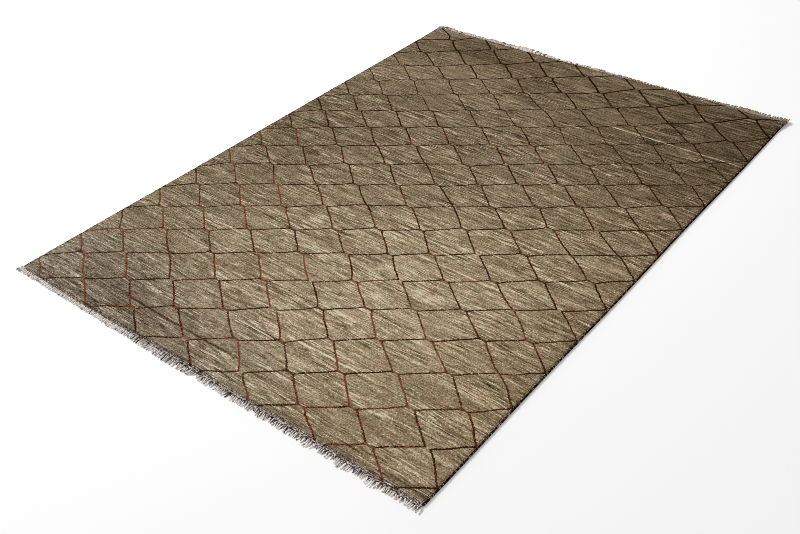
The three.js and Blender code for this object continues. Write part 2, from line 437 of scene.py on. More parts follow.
def round_corners(points, on_side):
    """Moves the rim's points that lie past a corner's centre onto its arc. Returns the points and
    the directions out of the rug there."""
    normals = np.zeros_like(points)
    for n, (x, y) in enumerate(points):
        side, end = (1 if x > 0 else -1), (1 if y > 0 else -1)
        centre = np.array([side_x(side, y) - side * PILE_CORNER, end_y(end, x) - end * PILE_CORNER])
        past = ((x, y) - centre) * (side, end)
        if min(past) > 1e-6:
            normals[n] = past / math.hypot(*past) * (side, end)
            points[n] = centre + (PILE_CORNER - RIM_INSET) * normals[n]
        else:
            normals[n] = (side, 0) if on_side[n] else (0, end)
    return points, normals


def pile_grid(lattice):
    """The mesh grid of the pile's top, a row for each weft step, with BEYOND steps more all round:
    steps across and up, and places. The outermost points of the top move onto the rim, and their
    neighbours follow a little."""
    half = FIELD_HALF_WIDTH - RIM_INSET
    first = math.floor((-half - COLUMN_START) / STEP)
    last = math.ceil((half - COLUMN_START) / STEP)
    rows = lattice.plain(0, np.arange(0, 30 * STEPS_UP))[1]
    spare = 5 * MM - RIM_INSET
    low, *_, high = np.flatnonzero((rows > NEAR_END - spare) & (rows < FAR_END + spare))
    columns = np.arange(first - BEYOND, last + 1 + BEYOND)
    across, up = np.meshgrid(columns, np.arange(low - BEYOND, high + 1 + BEYOND))
    x, y = lattice.place(across, up)
    reach = 9
    for side, edge in ((-1, first), (1, last)):
        column = edge - across[0, 0]
        move = side_x(side, y[:, column]) - side * RIM_INSET - x[:, column]
        x += move[:, None] * ease(reach - side * (edge - across), 0, reach)
    for end, edge in ((-1, low), (1, high)):
        row = edge - up[0, 0]
        move = end_y(end, x[row]) - end * RIM_INSET - y[row]
        y += move * ease(reach - end * (edge - up), 0, reach)
    return across, up, x, y


def top_triangles(index, rising):
    """Two triangles for each cell of the grid, split along its line's way."""
    a, b, c, d = index[:-1, :-1], index[:-1, 1:], index[1:, 1:], index[1:, :-1]
    rise = np.stack([np.stack([a, b, c], -1), np.stack([a, c, d], -1)], 2)
    fall = np.stack([np.stack([a, b, d], -1), np.stack([b, c, d], -1)], 2)
    return np.where(rising[:-1, :-1, None, None], rise, fall).reshape(-1, 3)


def underside(sole, ring, base):
    """Triangles inside the sole's outline, whose points are numbered in ring, and the inner points
    that they need, which are numbered from base."""
    x, y = np.meshgrid(np.arange(-0.80, 0.81, 0.05), np.arange(-1.13, 1.14, 0.05))
    inner = np.stack([x.ravel(), y.ravel()], 1)
    flat = np.concatenate([sole, inner])
    border = [(n, (n + 1) % len(sole)) for n in range(len(sole))]
    made, _, faces, sources, *_ = delaunay_2d_cdt([Vector(p) for p in flat], border, [], 1, 1e-7)
    if len(made) != len(flat):
        raise RuntimeError("the underside's points merged")
    faces = np.array([source[0] for source in sources])[np.array(faces)]
    start = flat[faces[:, 0]]
    one, two = flat[faces[:, 1]] - start, flat[faces[:, 2]] - start
    upwards = one[:, 0] * two[:, 1] - one[:, 1] * two[:, 0] > 0
    faces[upwards] = faces[upwards][:, ::-1]
    return inner, np.concatenate([ring, base + np.arange(len(inner))])[faces]


def pile_field():
    """The pile with its edge and underside. Returns it, the rim's places, directions out and plain
    places, and the function that finds the nearest line."""
    lattice = Lattice()
    across, up, x, y = pile_grid(lattice)
    lines_at = line_finder(*line_points(lattice, x, y, across[0, 0], up[0, 0]))
    across, up, x, y = (v[BEYOND:-BEYOND, BEYOND:-BEYOND] for v in (across, up, x, y))
    plain = np.stack(lattice.plain(across, up), -1).reshape(-1, 2)
    on_line = lattice.on_line(across, up)
    z = PILE_TOP + 0.30 * MM * Wander(31, 0.4, 0.007)(x, y)
    z = z + 0.22 * MM * Wander(32, 0.016)(x, y) + 0.25 * MM * Wander(33, 0.14)(x, y)
    z = z - GROOVE * on_line + corner_lift(x, y)
    top = np.stack([x.ravel(), y.ravel(), z.ravel()], 1)
    line = lines_at(top[:, :2])
    line[on_line.ravel(), 0] = 0

    # The rim, counterclockwise from the near left corner
    rows, columns = x.shape
    index = np.arange(len(top)).reshape(rows, columns)
    rim = np.concatenate([index[0, :-1], index[:-1, -1], index[-1, :0:-1], index[:0:-1, 0]])
    on_side = np.tile(np.repeat([False, True], [columns - 1, rows - 1]), 2)
    moved, out = round_corners(top[rim, :2], on_side)
    top[rim, :2] = moved
    points, weft = [top], [np.column_stack([plain, np.zeros(len(top))])]
    lines, rings, laid = [line], [rim], [top[:, :2]]
    rng = np.random.default_rng(5)
    base, unfolded = len(top), 0.0
    for (last_away, last_height, _), (away, height, rough) in zip(PILE_EDGE, PILE_EDGE[1:]):
        unfolded += math.hypot(away - last_away, height - last_height)
        loose = height > LOOSE_FROM
        stray = rough * rng.normal(0, 0.6, len(rim)).clip(-1.2, 1.2)
        lean = flop(moved, out) * loose * (away > 0)
        ring = moved + out * (away + RIM_INSET + stray + lean)[:, None]
        groove = 0.6 * GROOVE * (line[rim, 0] < 1 * MM) * (height > GROOVE_FOOT)
        height = height + 0.35 * stray * loose - groove + corner_lift(*moved.T) * loose
        points.append(np.column_stack([ring, height]))
        weft.append(np.column_stack([plain[rim] + out * (away + RIM_INSET), height]))
        lines.append(lines_at(ring))
        laid.append(moved + out * unfolded)
        rings.append(np.arange(base, base + len(rim)))
        base += len(rim)
    top_faces = top_triangles(index, lattice.off_line(across, up)[1])
    walls = [(a, b, np.roll(b, -1), np.roll(a, -1)) for a, b in zip(rings, rings[1:])]
    walls = np.concatenate([np.column_stack(wall) for wall in walls])
    inner, under = underside(ring, rings[-1], base)
    for table in (points, weft):
        table.append(np.column_stack([inner, np.zeros(len(inner))]))
    lines.append(np.tile([FAR_FROM_LINES, 0.0, 1.0], (len(inner), 1)))
    points, weft, lines, laid = (np.concatenate(table) for table in (points, weft, lines, laid))

    # Texture places: the top with its edge unfolded round it, and the underside beside it
    margin = 0.0075
    low, high = laid.min(0), laid.max(0)
    scale = (1 - 2 * margin) / (high[1] - low[1])
    on_top = (laid - low)[:, ::-1] * scale + margin
    used = (high[0] - low[0]) * scale + margin
    small = (1 - used - 0.02) / (2 * FIELD_HALF_WIDTH)
    on_sole = (points[:, 1::-1] - (NEAR_END, -FIELD_HALF_WIDTH)) * small + (margin, used + 0.01)
    uv = [on_top[top_faces.ravel()], on_top[walls.ravel()], on_sole[under.ravel()]]
    made = new_piece(
        "pile",
        points,
        [top_faces, walls, under],
        slots=np.repeat([0, 1], [len(top_faces) + len(walls), len(under)]),
        uv=np.concatenate(uv),
        line_far=lines[:, 0],
        line_rust=lines[:, 1],
        line_mark=lines[:, 2],
        tone=hills(GROUND_AREAS_AND_PAINTED_LIGHT, points[:, 0], points[:, 1]),
        weft=weft,
    )
    return made, np.column_stack([moved, out, plain[rim]]), lines_at


class Heap:
    """Collects many small tubes into one piece."""

    def __init__(self):
        self.points, self.faces, self.uv, self.values, self.count = [], {}, {}, {}, 0

    def add(self, paths, radii, sides, region, columns=None, **values):
        """Adds tubes. Each value is one number, or an array with a row for each tube and a column
        for each station or for all of them."""
        points, faces, uv = tubes(paths, radii, sides, region, columns)
        for face, places in zip(faces, uv):
            self.faces.setdefault(face.shape[1], []).append(face + self.count)
            self.uv.setdefault(face.shape[1], []).append(places.reshape(-1, 2))
        for key, value in values.items():
            value = np.broadcast_to(value, paths.shape[:2] + np.shape(value)[2:])
            value = value.reshape(-1, *value.shape[2:])
            self.values.setdefault(key, []).append(np.repeat(value, sides, axis=0))
        self.points.append(points)
        self.count += len(points)

    def piece(self, name):
        sides = sorted(self.faces)
        return new_piece(
            name,
            np.concatenate(self.points),
            [np.concatenate(self.faces[n]) for n in sides],
            uv=np.concatenate([np.concatenate(self.uv[n]) for n in sides]),
            **{key: np.concatenate(value) for key, value in self.values.items()},
        )


def tubes(paths, radii, sides, region, columns):
    """Closed tubes along paths, an array of tube, station and place. Returns points, faces and
    their texture places, in cells of a grid over region, (left, bottom, right, top)."""
    count, stations, _ = paths.shape
    ahead = unit(np.gradient(paths, axis=1))
    aside = np.eye(3)[np.argmin(abs(ahead[:, 0]), axis=1)]
    asides = np.empty_like(paths)
    for k in range(stations):
        aside = unit(aside - ahead[:, k] * (ahead[:, k] * aside).sum(1, keepdims=True))
        asides[:, k] = aside
    ring = circle(sides)
    around = ring[:, :1] * asides[:, :, None] + ring[:, 1:] * np.cross(ahead, asides)[:, :, None]
    points = paths[:, :, None] + radii[:, :, None, None] * around
    ids = np.arange(count * stations * sides).reshape(count, stations, sides)
    after = np.roll(ids, -1, axis=2)
    walls = np.stack([ids[:, :-1], after[:, :-1], after[:, 1:], ids[:, 1:]], -1)
    caps = np.stack([ids[:, 0, ::-1], ids[:, -1]], 1)

    columns = columns or math.ceil(math.sqrt(count))
    rows = math.ceil(count / columns)
    left, bottom, right, top = region
    cell = np.array([(right - left) / columns, (top - bottom) / rows])
    corner = np.stack([np.arange(count) % columns, np.arange(count) // columns], 1) * cell
    corner = corner + (left, bottom)
    k, n = np.meshgrid(np.arange(stations - 1), np.arange(sides), indexing="ij")
    along = np.stack([k, k, k + 1, k + 1], -1) / (stations - 1)
    turned = np.stack([n, n + 1, n + 1, n], -1) / sides
    wall_uv = np.stack([0.05 + 0.75 * along, 0.05 + 0.9 * turned], -1) * cell
    cap_uv = np.stack([(0.88, 0.25) + 0.06 * ring[::-1], (0.88, 0.75) + 0.06 * ring]) * cell
    return (
        points.reshape(-1, 3),
        [walls.reshape(-1, 4), caps.reshape(-1, sides)],
        [wall_uv + corner[:, None, None, None], cap_uv + corner[:, None, None]],
    )


def outline(side):
    """A side's foundation edge from the near corner's bend to the far one's, as the selvedge
    follows it, with the directions out of the rug. The step is about a millimetre."""
    bends = []
    for end in (-1, 1):
        y = end_y(end, side * FIELD_HALF_WIDTH) - end * PILE_CORNER
        turn = np.radians(36) * np.linspace(1, 0, 12)[::-end]
        arc = PILE_CORNER * np.stack([side * np.cos(turn), end * np.sin(turn)], 1)
        bends.append(arc + (side_x(side, y) - side * PILE_CORNER, y))
    y = np.arange(bends[0][-1, 1] + MM, bends[1][0, 1] - MM, MM)
    path = np.concatenate([bends[0], np.stack([side_x(side, y), y], 1), bends[1]])
    ahead = np.gradient(path, axis=0)
    return path, unit(np.stack([ahead[:, 1], -ahead[:, 0]], 1) * side)


WRAP_PITCH = 3.3 * MM
WRAP_STATIONS = 4  # to a turn
WRAP_DEPTH = 0.75 * MM  # of the furrows between the turns
WRAP_LEAN = 0.7 * MM

# The overcasting in section, from its sole's inner edge over the top to the outer edge. Columns:
# out from the foundation's edge and up, and how much a wrap swells there.
WRAP_SECTION = [
    (0.9 * MM, 0.0, 0.0), (0.3 * MM, 1.6 * MM, 0.5), (0.0 * MM, 3.0 * MM, 0.8),
    (0.45 * MM, 4.5 * MM, 1.0), (1.7 * MM, 5.6 * MM, 1.0), (3.3 * MM, 6.0 * MM, 1.0),
    (4.9 * MM, 5.6 * MM, 1.0), (6.15 * MM, 4.5 * MM, 1.0), (6.6 * MM, 3.0 * MM, 0.9),
    (6.3 * MM, 1.6 * MM, 0.6), (5.7 * MM, 0.0, 0.2), (3.3 * MM, 0.0, 0.0),
]
WRAP_MIDDLE = np.array([3.3 * MM, 2.6 * MM])  # the wraps sink towards it


def selvedge(side, name, seed):
    """Wool wrapped round and round the edge, each turn a ridge that leans a little."""
    rng = np.random.default_rng(seed)
    path, out = outline(side)
    run = run_along(path)
    turns = int(run[-1] / WRAP_PITCH)
    count, sides = turns * WRAP_STATIONS + 1, len(WRAP_SECTION)
    station = np.arange(count)
    turn = station / WRAP_STATIONS
    jitter = np.interp(turn, np.arange(turns + 1), rng.normal(0, 0.10, turns + 1).clip(-0.2, 0.2))
    at = (turn + jitter).clip(0, turns) / turns * run[-1]
    at = np.maximum.accumulate(at) + station * 1e-7
    places, away = sample(path, run, at), unit(sample(out, run, at))
    ahead = np.stack([-away[:, 1], away[:, 0]], 1) * side
    wrap = np.floor(turn + 0.5).astype(int).clip(0, turns)
    ridge = (0.5 + 0.5 * np.cos(2 * np.pi * turn)) * (0.9 + 0.14 * rng.random(turns + 1))[wrap]
    section_out, section_up, swell = np.array(WRAP_SECTION).T
    spoke = unit(np.stack([section_out, section_up], 1) - WRAP_MIDDLE)
    sink = (WRAP_DEPTH * (1 - ridge))[:, None] * swell
    above = section_up > 0
    height = np.where(above, section_up - sink * spoke[:, 1], 0.0)
    lean = np.where(above, np.interp(section_out, [0, SELVEDGE_WIDTH], [-WRAP_LEAN, WRAP_LEAN]), 0.0)
    end = ease(np.minimum(station, count - 1 - station), 0, 6)[:, None]
    close = 0.55 + 0.45 * end
    across = WRAP_MIDDLE[0] + (section_out - sink * spoke[:, 0] - WRAP_MIDDLE[0]) * close
    points = np.empty((count, sides, 3))
    points[..., :2] = places[:, None] + away[:, None] * (SEAT_GAP + across)[..., None]
    points[..., :2] += ahead[:, None] * (lean * end)[..., None]
    points[..., 2] = height * close
    ids = np.arange(count * sides).reshape(count, sides)
    after = np.roll(ids, -1, axis=1)
    walls = np.stack([ids[:-1], ids[1:], after[1:], after[:-1]], -1).reshape(-1, 4)
    caps = np.stack([ids[0], ids[-1, ::-1]])

    # Texture places: the wrapping cut into strips that lie one above the other
    strips = 26
    length = (count - 1) / strips
    k, n = np.meshgrid(np.arange(count - 1), np.arange(sides), indexing="ij")
    strip = np.floor(k / length)[..., None]
    u = np.stack([k, k + 1, k + 1, k], -1) / length - strip
    v = (strip + 0.05 + 0.9 * np.stack([n, n, n + 1, n + 1], -1) / sides) / strips
    uv = np.stack([0.01 + 0.93 * u / (1 + 1 / length), v], -1).reshape(-1, 4, 2)
    ring = 0.012 * circle(sides)
    cap_uv = np.stack([ring + (0.972, 0.1), ring[::-1] + (0.972, 0.2)])
    if side > 0:
        walls, caps, uv, cap_uv = (each[:, ::-1] for each in (walls, caps, uv, cap_uv))

    # Now and then a lighter turn, mostly on the near half
    near = ease(-places[:, 1], -0.35, 0.55)
    light = rng.random(turns + 1)[wrap] < 0.05 + 0.25 * near
    light = light * rng.uniform(0.4, 1.0, turns + 1)[wrap]
    shade = np.clip(0.10 + 0.22 * rng.random(turns + 1)[wrap] + 0.55 * light, 0, 1)
    uv = np.concatenate([uv.reshape(-1, 2), cap_uv.reshape(-1, 2)])
    return new_piece(name, points.reshape(-1, 3), [walls, caps], uv=uv, shade=np.repeat(shade, sides))


# The fringes' tassels, threads and cords
NEAR_TASSEL_PITCH = 6.2 * MM
FAR_TASSEL_PITCH = 5.3 * MM
NEAR_THREAD_RADIUS = 1.0 * MM
DULL_THREAD_RADIUS = 0.95 * MM
FAR_THREAD_RADIUS = 1.3 * MM
HAIR_RADIUS = 0.25 * MM
THREAD_FOOT = 2.6 * MM  # a thread's height where it leaves the rug, and at its tip
THREAD_TIP = 1.2 * MM
NEAR_TWINE_PITCH = 8.0 * MM
FAR_TWINE_PITCH = 9.0 * MM


def strands(x, tips, end, seed, loft, curl, fan, rise, splay, taper, plies, stations, radius):
    """The threads of a row of tassels, a few to a tassel, twisted round each other and loose at the
    tips. tips says how far along the rug each tassel reaches, fan how far it leans across, and rise
    the shape of its height, as shares of loft. Returns the threads' paths, radii and tassels."""
    rng = np.random.default_rng(seed)
    tassel = np.repeat(np.arange(len(x)), plies)
    many = len(tassel)
    s = np.linspace(0, 1, stations)[None]

    def each(values):
        return values[tassel][:, None]

    phase = 2 * np.pi * (np.tile(np.arange(plies), len(x)) / plies + rng.random(len(x))[tassel])
    phase = phase[:, None]
    winding = phase + 2 * np.pi * 1.2 * s * each(rng.uniform(0.8, 1.2, len(x)))
    loose = ease(s, 0.45, 1.0)
    coil = radius * 1.3 * (1 - 0.5 * loose) * (0.6 + 0.4 * ease(s, 0, 0.2))
    back = end_y(end, np.clip(x, -FIELD_HALF_WIDTH, FIELD_HALF_WIDTH)) + end * (SEAT_GAP + 1.2 * radius)
    length = abs(each(tips - back)) * rng.uniform(0.86, 1.03, many)[:, None]
    clump = Wander(seed + 1, 0.040)(x, x) * 3.2 * MM
    sway = rng.normal(0, 0.8 * MM, len(x))
    path = np.empty((many, stations, 3))
    path[..., 0] = each(x) + each(fan) * length * s
    path[..., 0] += each(clump) * s * s + each(sway) * np.sin(1.5 * np.pi * s)
    path[..., 0] += coil * np.cos(winding) + rng.normal(0, 1, many)[:, None] * each(splay) * loose
    path[..., 0] += each(curl) * np.sin(2 * np.pi * s + phase) * ease(s, 0.1, 0.6)
    bow = each(curl) * 0.8 * np.cos(2 * np.pi * s + phase) * ease(s, 0.2, 0.7)
    path[..., 1] = each(back) + end * (length * s + bow)
    path[..., 2] = THREAD_FOOT * (1 - s) + THREAD_TIP * s + each(loft) * np.interp(s, *zip(*rise))
    path[..., 2] += coil * np.sin(winding) + abs(rng.normal(0, 0.5 * MM, many))[:, None] * loose
    path[..., 2] += each(curl) * 0.6 * np.sin(4 * np.pi * s + 2 * phase) * ease(s, 0.2, 0.5)
    size = radius * rng.uniform(0.8, 1.1, many)[:, None] * np.interp(s, [0, 0.7, 1], [1, 0.95, taper])
    path[..., 2] = np.maximum(path[..., 2], size + 0.05 * MM)
    return path, size, tassel


def hairs(count, end, seed, reach, rise):
    """Single hairs that stray out of the fringe. Returns their paths and radii."""
    rng = np.random.default_rng(seed)
    stations = 6
    s = np.linspace(0, 1, stations)[None]
    x = rng.uniform(-CORD_HALF_LENGTH, CORD_HALF_LENGTH, count)[:, None]
    start = rng.uniform(2 * MM, 0.6 * reach, count)[:, None]
    length = rng.uniform(0.4, 1.0, count)[:, None] * reach
    bend = rng.normal(0, 0.5, count)[:, None]
    way = rng.normal(0, 0.6, count)[:, None]
    path = np.empty((count, stations, 3))
    path[..., 0] = x + length * s * (way + bend * s)
    path[..., 1] = end_y(end, x) + end * (SEAT_GAP + start + length * s * (1 - 0.4 * abs(bend) * s))
    path[..., 2] = 1.5 * MM + rng.uniform(0, 1, count)[:, None] * rise * np.sin(np.pi * (0.15 + 0.75 * s))
    return path, np.tile(HAIR_RADIUS * (1 - 0.5 * s), (count, 1))


def lumps(seed, across):
    """Light and dark lumps a few millimetres long, from 0 to 1."""
    return np.clip(0.5 + 1.3 * Wander(seed, 4.2 * MM)(across, np.zeros_like(across)), 0, 1)


def twined(end, away, height, radius, pitch, seed):
    """Two threads twined along the pile's foot. Returns their paths, radii and lumps."""
    x = np.arange(-CORD_HALF_LENGTH, CORD_HALF_LENGTH, 2.1 * MM)
    path = np.empty((2, len(x), 3))
    for n in (0, 1):
        turn = 2 * np.pi * x / pitch + np.pi * n
        path[n, :, 0] = x
        path[n, :, 1] = end_y(end, x) + end * (SEAT_GAP + away + 0.75 * radius * np.cos(turn))
        path[n, :, 2] = height + 0.9 * radius * np.sin(turn)
    return path, np.full((2, len(x)), radius), np.stack([lumps(seed + n, x) for n in (0, 1)])


# Where the near fringe is short. Columns: place across, half width, and how much shorter.
NEAR_NOTCHES = [
    (0.27, 10 * MM, 13 * MM), (0.33, 30 * MM, 5 * MM), (0.03, 9 * MM, 13 * MM),
    (0.48, 8 * MM, -7 * MM), (0.51, 7 * MM, 16 * MM), (0.57, 8 * MM, 20 * MM),
    (0.65, 14 * MM, 12 * MM), (0.70, 16 * MM, -7 * MM), (-0.75, 9 * MM, 6 * MM),
    (-0.37, 20 * MM, -5 * MM), (-0.20, 110 * MM, -3 * MM), (-0.05, 70 * MM, -5 * MM),
    (0.22, 50 * MM, 1 * MM), (0.44, 60 * MM, 2 * MM), (0.53, 22 * MM, 3 * MM),
    (0.61, 25 * MM, -5 * MM), (0.78, 70 * MM, 4 * MM),
]

# The cords twined along each end. Columns: out from the foundation's edge, up, and radius, and
# for the near end how much lighter a cord is at four places across, partly painted light
# against the shade under the pile's edge.
NEAR_CORDS = [
    (3.0 * MM, 5.8 * MM, 1.1 * MM, 0.10, 0.18, 0.42, 0.26),
    (6.0 * MM, 5.6 * MM, 1.1 * MM, 0.14, 0.02, 0.00, 0.04),
    (8.8 * MM, 4.6 * MM, 1.1 * MM, 0.06, -0.12, -0.07, -0.03),
]

# How dark the near tassels are where they leave the pile, partly darker yarn and partly
# painted shade under the pile's edge. Columns: place across, and share.
FOOT_DARKNESS_AND_PAINTED_SHADE = [(-0.86, 0.20), (-0.50, 0.25), (-0.35, 0.85), (0.30, 0.95), (0.86, 0.80)]

# How a tassel's height runs along it. Columns: share of its length and share of its loft.
FLAT_RISE = [(0, 0), (0.3, 1), (0.65, 0.8), (1, 0)]
CURLED_RISE = [(0, 0.2), (0.3, 1), (0.8, 0.9), (1, 0.5)]


def fringe_near():
    """Tassels that lie flat, with duller threads between them, stray hairs and twined cords."""
    rng = np.random.default_rng(61)
    x = np.arange(-864 * MM, 859 * MM, NEAR_TASSEL_PITCH)
    x = x + rng.normal(0, 1.2 * MM, len(x)).clip(-2.4 * MM, 2.4 * MM)
    right = ease(share_across(x), 0.25, 0.60)
    waves = 0.7 * Wander(63, 0.07)(x, x) + 0.6 * Wander(64, 0.018)(x, x)
    tips = -RUG_LENGTH / 2 - (2.0 + 2.0 * right) * MM - (1.2 + 1.4 * right) * MM * waves
    tips = tips + rng.normal(0, 1, len(x)) * (0.20 + 0.60 * right) * MM
    for notch, wide, deep in NEAR_NOTCHES:
        tips = tips + deep * np.exp(-(((x - notch) / wide) ** 2))
    fan = -0.50 * ease(-x, 0.825, 0.865) + 0.15 * ease(x, 0.845, 0.857)
    fan = (fan + rng.normal(0, 1, len(x)) * (0.05 + 0.08 * right)).clip(-0.55, 0.50)
    loft = (0.5 + 1.2 * share_across(x)) * MM
    curl = np.full(len(x), 0.4 * MM)
    splay = (1.1 - 0.4 * right) * MM
    path, size, tassel = strands(
        x, tips, -1, 65, loft, curl, fan, FLAT_RISE, splay, 0.85,
        plies=3, stations=9, radius=NEAR_THREAD_RADIUS,
    )
    wider = 0.22 * (1 - right[tassel])[:, None]
    path[..., 2] += wider * size
    size = size * (1 + wider)
    light = rng.uniform(0.76, 1.0, len(x)) + 0.12 * ease(x, -0.1, 0.4) + 0.05 * (1 - right)
    light += 0.10 * (1 - right) * Wander(68, 0.015)(x, x)
    brown = rng.random(len(x)) < 0.03 + 0.06 * right * (Wander(66, 0.03)(x, x) > 0.1)
    light = np.where(brown, 0.30, light)
    soiled = rng.random(len(x)) < 0.28 - 0.08 * right
    s = np.linspace(0, 1, path.shape[1])
    # Tassels darker at the foot: partly darker yarn, partly painted shade under the pile's edge
    foot = np.interp(s, [0, 0.30, 0.50], [-0.52, -0.26, 0])
    foot = foot * np.interp(x, *zip(*FOOT_DARKNESS_AND_PAINTED_SHADE))[tassel][:, None]
    tip = np.interp(s, [0.60, 0.85], [0, -0.42]) * soiled[tassel][:, None]
    shade = (light[tassel] + rng.uniform(-0.10, 0.08, len(tassel)))[:, None]
    shade = np.clip(shade + foot + tip + rng.normal(0, 0.07, size.shape), 0.1, 1)
    warm = rng.uniform(0, 0.3, len(x))[tassel][:, None]
    heap = Heap()
    heap.add(path, size, 5, (0, 0, 1, 0.62), shade=shade, warm=warm)

    # Darker threads between the tassels, partly dark warps and partly painted shade in the gaps
    between = x[:-1] + 0.5 * np.diff(x)
    between = between[rng.random(len(between)) < 0.90]
    calm = 1 - ease(between, -0.35, 0.05)
    tips = -RUG_LENGTH / 2 + (rng.uniform(0, 8, len(between)) * (1 - 0.7 * calm) - calm) * MM
    low = np.full(len(between), 0.8 * MM)
    path, size, tassel = strands(
        between, tips, -1, 69, low, 0.3 * low, 0 * low, FLAT_RISE, low, 0.5,
        plies=2, stations=9, radius=DULL_THREAD_RADIUS,
    )
    shade = (0.22 + 0.50 * calm[tassel] + rng.uniform(0, 0.20, len(path)))[:, None]
    warm = rng.uniform(0, 0.7, (len(path), 1))
    heap.add(path, size, 4, (0, 0.63, 1, 0.80), shade=shade, warm=warm)

    path, size = hairs(300, -1, 67, 20 * MM, 3.5 * MM)
    shade = rng.uniform(0.3, 1.0, (len(path), 1))
    heap.add(path, size, 3, (0, 0.80, 1, 0.90), shade=shade, warm=0.0)
    for n, (away, height, radius, *lighter) in enumerate(NEAR_CORDS):
        path, size, speckle = twined(-1, away, height, radius, NEAR_TWINE_PITCH, 70 + 2 * n)
        ahead, low = path[:, :, 0], 0.905 + 0.03 * n
        calm = 1 - ease(ahead, -0.45, 0.10)
        shade = (0.14 + 0.62 * speckle) * (1 - calm) + (0.36 + 0.28 * speckle) * calm
        # Each cord is lighter or darker at four places across, partly painted light against the pile's
        # shade
        shade = shade + np.interp(ahead, [-0.67, -0.30, 0.10, 0.57], lighter)
        heap.add(path, size, 5, (0, low, 1, low + 0.028), 1, shade=shade, warm=0.2)
    return heap.piece("fringe_near_strands")


FAR_CORDS = [
    (2.0 * MM, 6.4 * MM, 1.5 * MM),
    (4.6 * MM, 8.4 * MM, 1.5 * MM),
    (6.6 * MM, 5.4 * MM, 1.5 * MM),
]

# Where the far fringe stands out. Columns: place across, and how much further and higher it goes.
FAR_REACH = [
    (-0.86, -2 * MM), (-0.81, 2 * MM), (-0.70, 2 * MM), (-0.60, -1 * MM), (-0.54, 6 * MM),
    (-0.45, 4 * MM), (-0.38, 10 * MM), (-0.31, 6 * MM), (-0.24, -3 * MM), (0.00, 0 * MM),
    (0.20, -3 * MM), (0.52, -2 * MM), (0.61, 1 * MM), (0.67, 6 * MM), (0.76, 3 * MM),
    (0.80, 4 * MM), (0.85, 5 * MM),
]


def fringe_far():
    """Tassels that curl up behind the pile, browner on the right, with hairs and twined cords."""
    rng = np.random.default_rng(71)
    x = np.arange(-858 * MM, 862 * MM, FAR_TASSEL_PITCH)
    x = x + rng.normal(0, 1.0 * MM, len(x)).clip(-2.0 * MM, 2.0 * MM)
    right = ease(share_across(x), 0.33, 0.66)
    swell = 0.6 * Wander(73, 0.06)(x, x) + 0.9 * Wander(74, 0.016)(x, x)
    swell = swell * (1 - 0.6 * right)
    reach = np.interp(x, *zip(*FAR_REACH))
    tips = RUG_LENGTH / 2 + (1.5 + 2.0 * swell) * MM + reach
    loft = (8.0 + 3.6 * swell) * MM + 0.7 * reach + corner_lift(x, np.full_like(x, FAR_END))
    loft = np.minimum(loft, 13.2 * MM)
    curl = (1.0 + 1.6 * (1 - share_across(x)) + 0.5 * swell) * MM
    fan = -0.12 * ease(-x, 0.845, 0.857) + 0.25 * ease(x, 0.83, 0.857) + rng.normal(0, 0.10, len(x))
    splay = (1.6 - 1.0 * right) * MM
    path, size, tassel = strands(
        x, tips, 1, 75, loft, curl, fan, CURLED_RISE, splay, 0.5,
        plies=4, stations=12, radius=FAR_THREAD_RADIUS,
    )
    many, brown = len(tassel), right[tassel]
    size = size * (1 + 0.45 * brown)[:, None]
    calm = ease(-x, 0.30, 0.55)[tassel]
    shade = rng.uniform(0.62, 1.0, many) * (1 - 0.3 * calm) + 0.12 * calm
    shade = shade + 0.6 * (0.78 - shade) * brown
    dark = rng.random(len(x)) < (0.17 + 0.12 * Wander(76, 0.04)(x, x)) * (1 - 0.8 * right)
    dark = dark[tassel] & (rng.random(many) < 0.85)
    shade = np.where(dark, rng.uniform(0.22, 0.44, many) + 0.22 * brown, shade)
    warm = np.clip(brown + rng.uniform(-0.15, 0.25, many) + 0.6 * dark, 0, 1)
    heap = Heap()
    heap.add(path, size, 4, (0, 0, 1, 0.80), shade=np.clip(shade, 0, 1)[:, None], warm=warm[:, None])
    path, size = hairs(420, 1, 77, 15 * MM, 9 * MM)
    shade = rng.uniform(0.4, 1.0, (len(path), 1))
    heap.add(path, size, 3, (0, 0.80, 1, 0.89), shade=shade, warm=0.5)
    for n, (away, height, radius) in enumerate(FAR_CORDS):
        path, size, speckle = twined(1, away, height, radius, FAR_TWINE_PITCH, 90 + 2 * n)
        ahead, low = path[:, :, 0], 0.895 + 0.034 * n
        path[:, :, 1] += far_lean(ahead)
        brown = ease(ahead, -0.29, 0.27)
        shade = 0.38 + 0.34 * speckle + 0.16 * brown
        heap.add(path, size, 5, (0, low, 1, low + 0.031), 1, shade=shade, warm=brown)
    return heap.piece("fringe_far_strands")


TUFT_PITCH = 2.9 * MM
TUFT_RADII = np.array([1.35, 1.2, 0.55]) * MM  # at the foot, half way and at the tip

# Rows of tufts along the pile's edge. Columns: out from the foundation's edge, up, how far the
# tuft leans out for its rise, and how long it is.
TUFT_ROWS = [
    (-1.6 * MM, 10.2 * MM, 0.45, 3.2 * MM),
    (1.0 * MM, 9.2 * MM, 1.1, 3.4 * MM),
    (1.6 * MM, 8.0 * MM, 2.6, 3.0 * MM),
]


